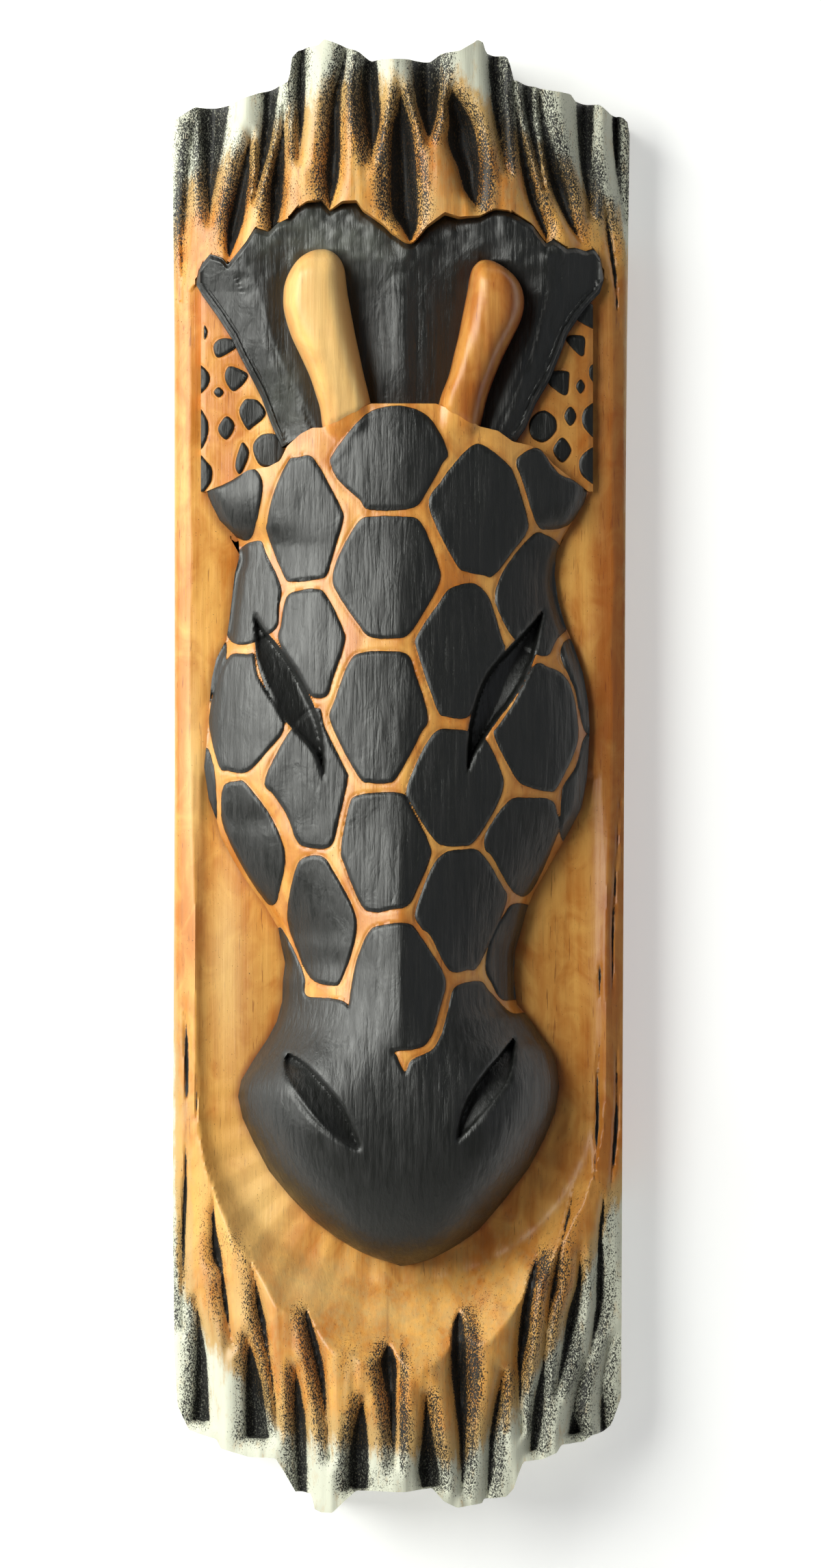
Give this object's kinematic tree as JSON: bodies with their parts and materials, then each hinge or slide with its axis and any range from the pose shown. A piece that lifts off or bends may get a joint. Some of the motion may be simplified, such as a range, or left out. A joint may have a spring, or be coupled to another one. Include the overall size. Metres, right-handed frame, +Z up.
{
  "type": "wall-hung carved giraffe mask",
  "caption": "Half-log wooden wall plaque carved as a horned giraffe face with spotted ears, fringed log ends and a recessed ring hanger behind.",
  "frame": {"origin": "centre of the flat back that rests on the wall", "axes": "+Z up the log, +Y out of the back into the wall, +X to the viewer's right when looking at the face"},
  "size_m": [0.157, 0.062, 0.5],
  "materials": {
    "stained_log": "orange stain under a satin varnish, fringe tips brushed cream and black",
    "black_lacquer": "black paint under a satin varnish, with an orange web left between the spots",
    "stained_carving": "orange stain under a satin varnish, ears spotted black",
    "hanger_steel": "thin brassy zinc plate"
  },
  "bodies": {
    "mask": {"log_slab": "stained_log", "giraffe_head": "black_lacquer", "left_horn": "stained_carving", "right_horn": "stained_carving", "left_ear": "stained_carving", "right_ear": "stained_carving", "hanger_strap": "hanger_steel", "hanger_screws": "hanger_steel"},
    "ring": {"hanger_ring": "hanger_steel"}
  },
  "joints": [
    {"name": "ring_swing", "type": "hinge", "parent": "mask", "child": "ring", "pos_m": [0, -0.0062, 0.2], "axis": [-1, 0, 0], "range_deg": [0, 165]}
  ]
}
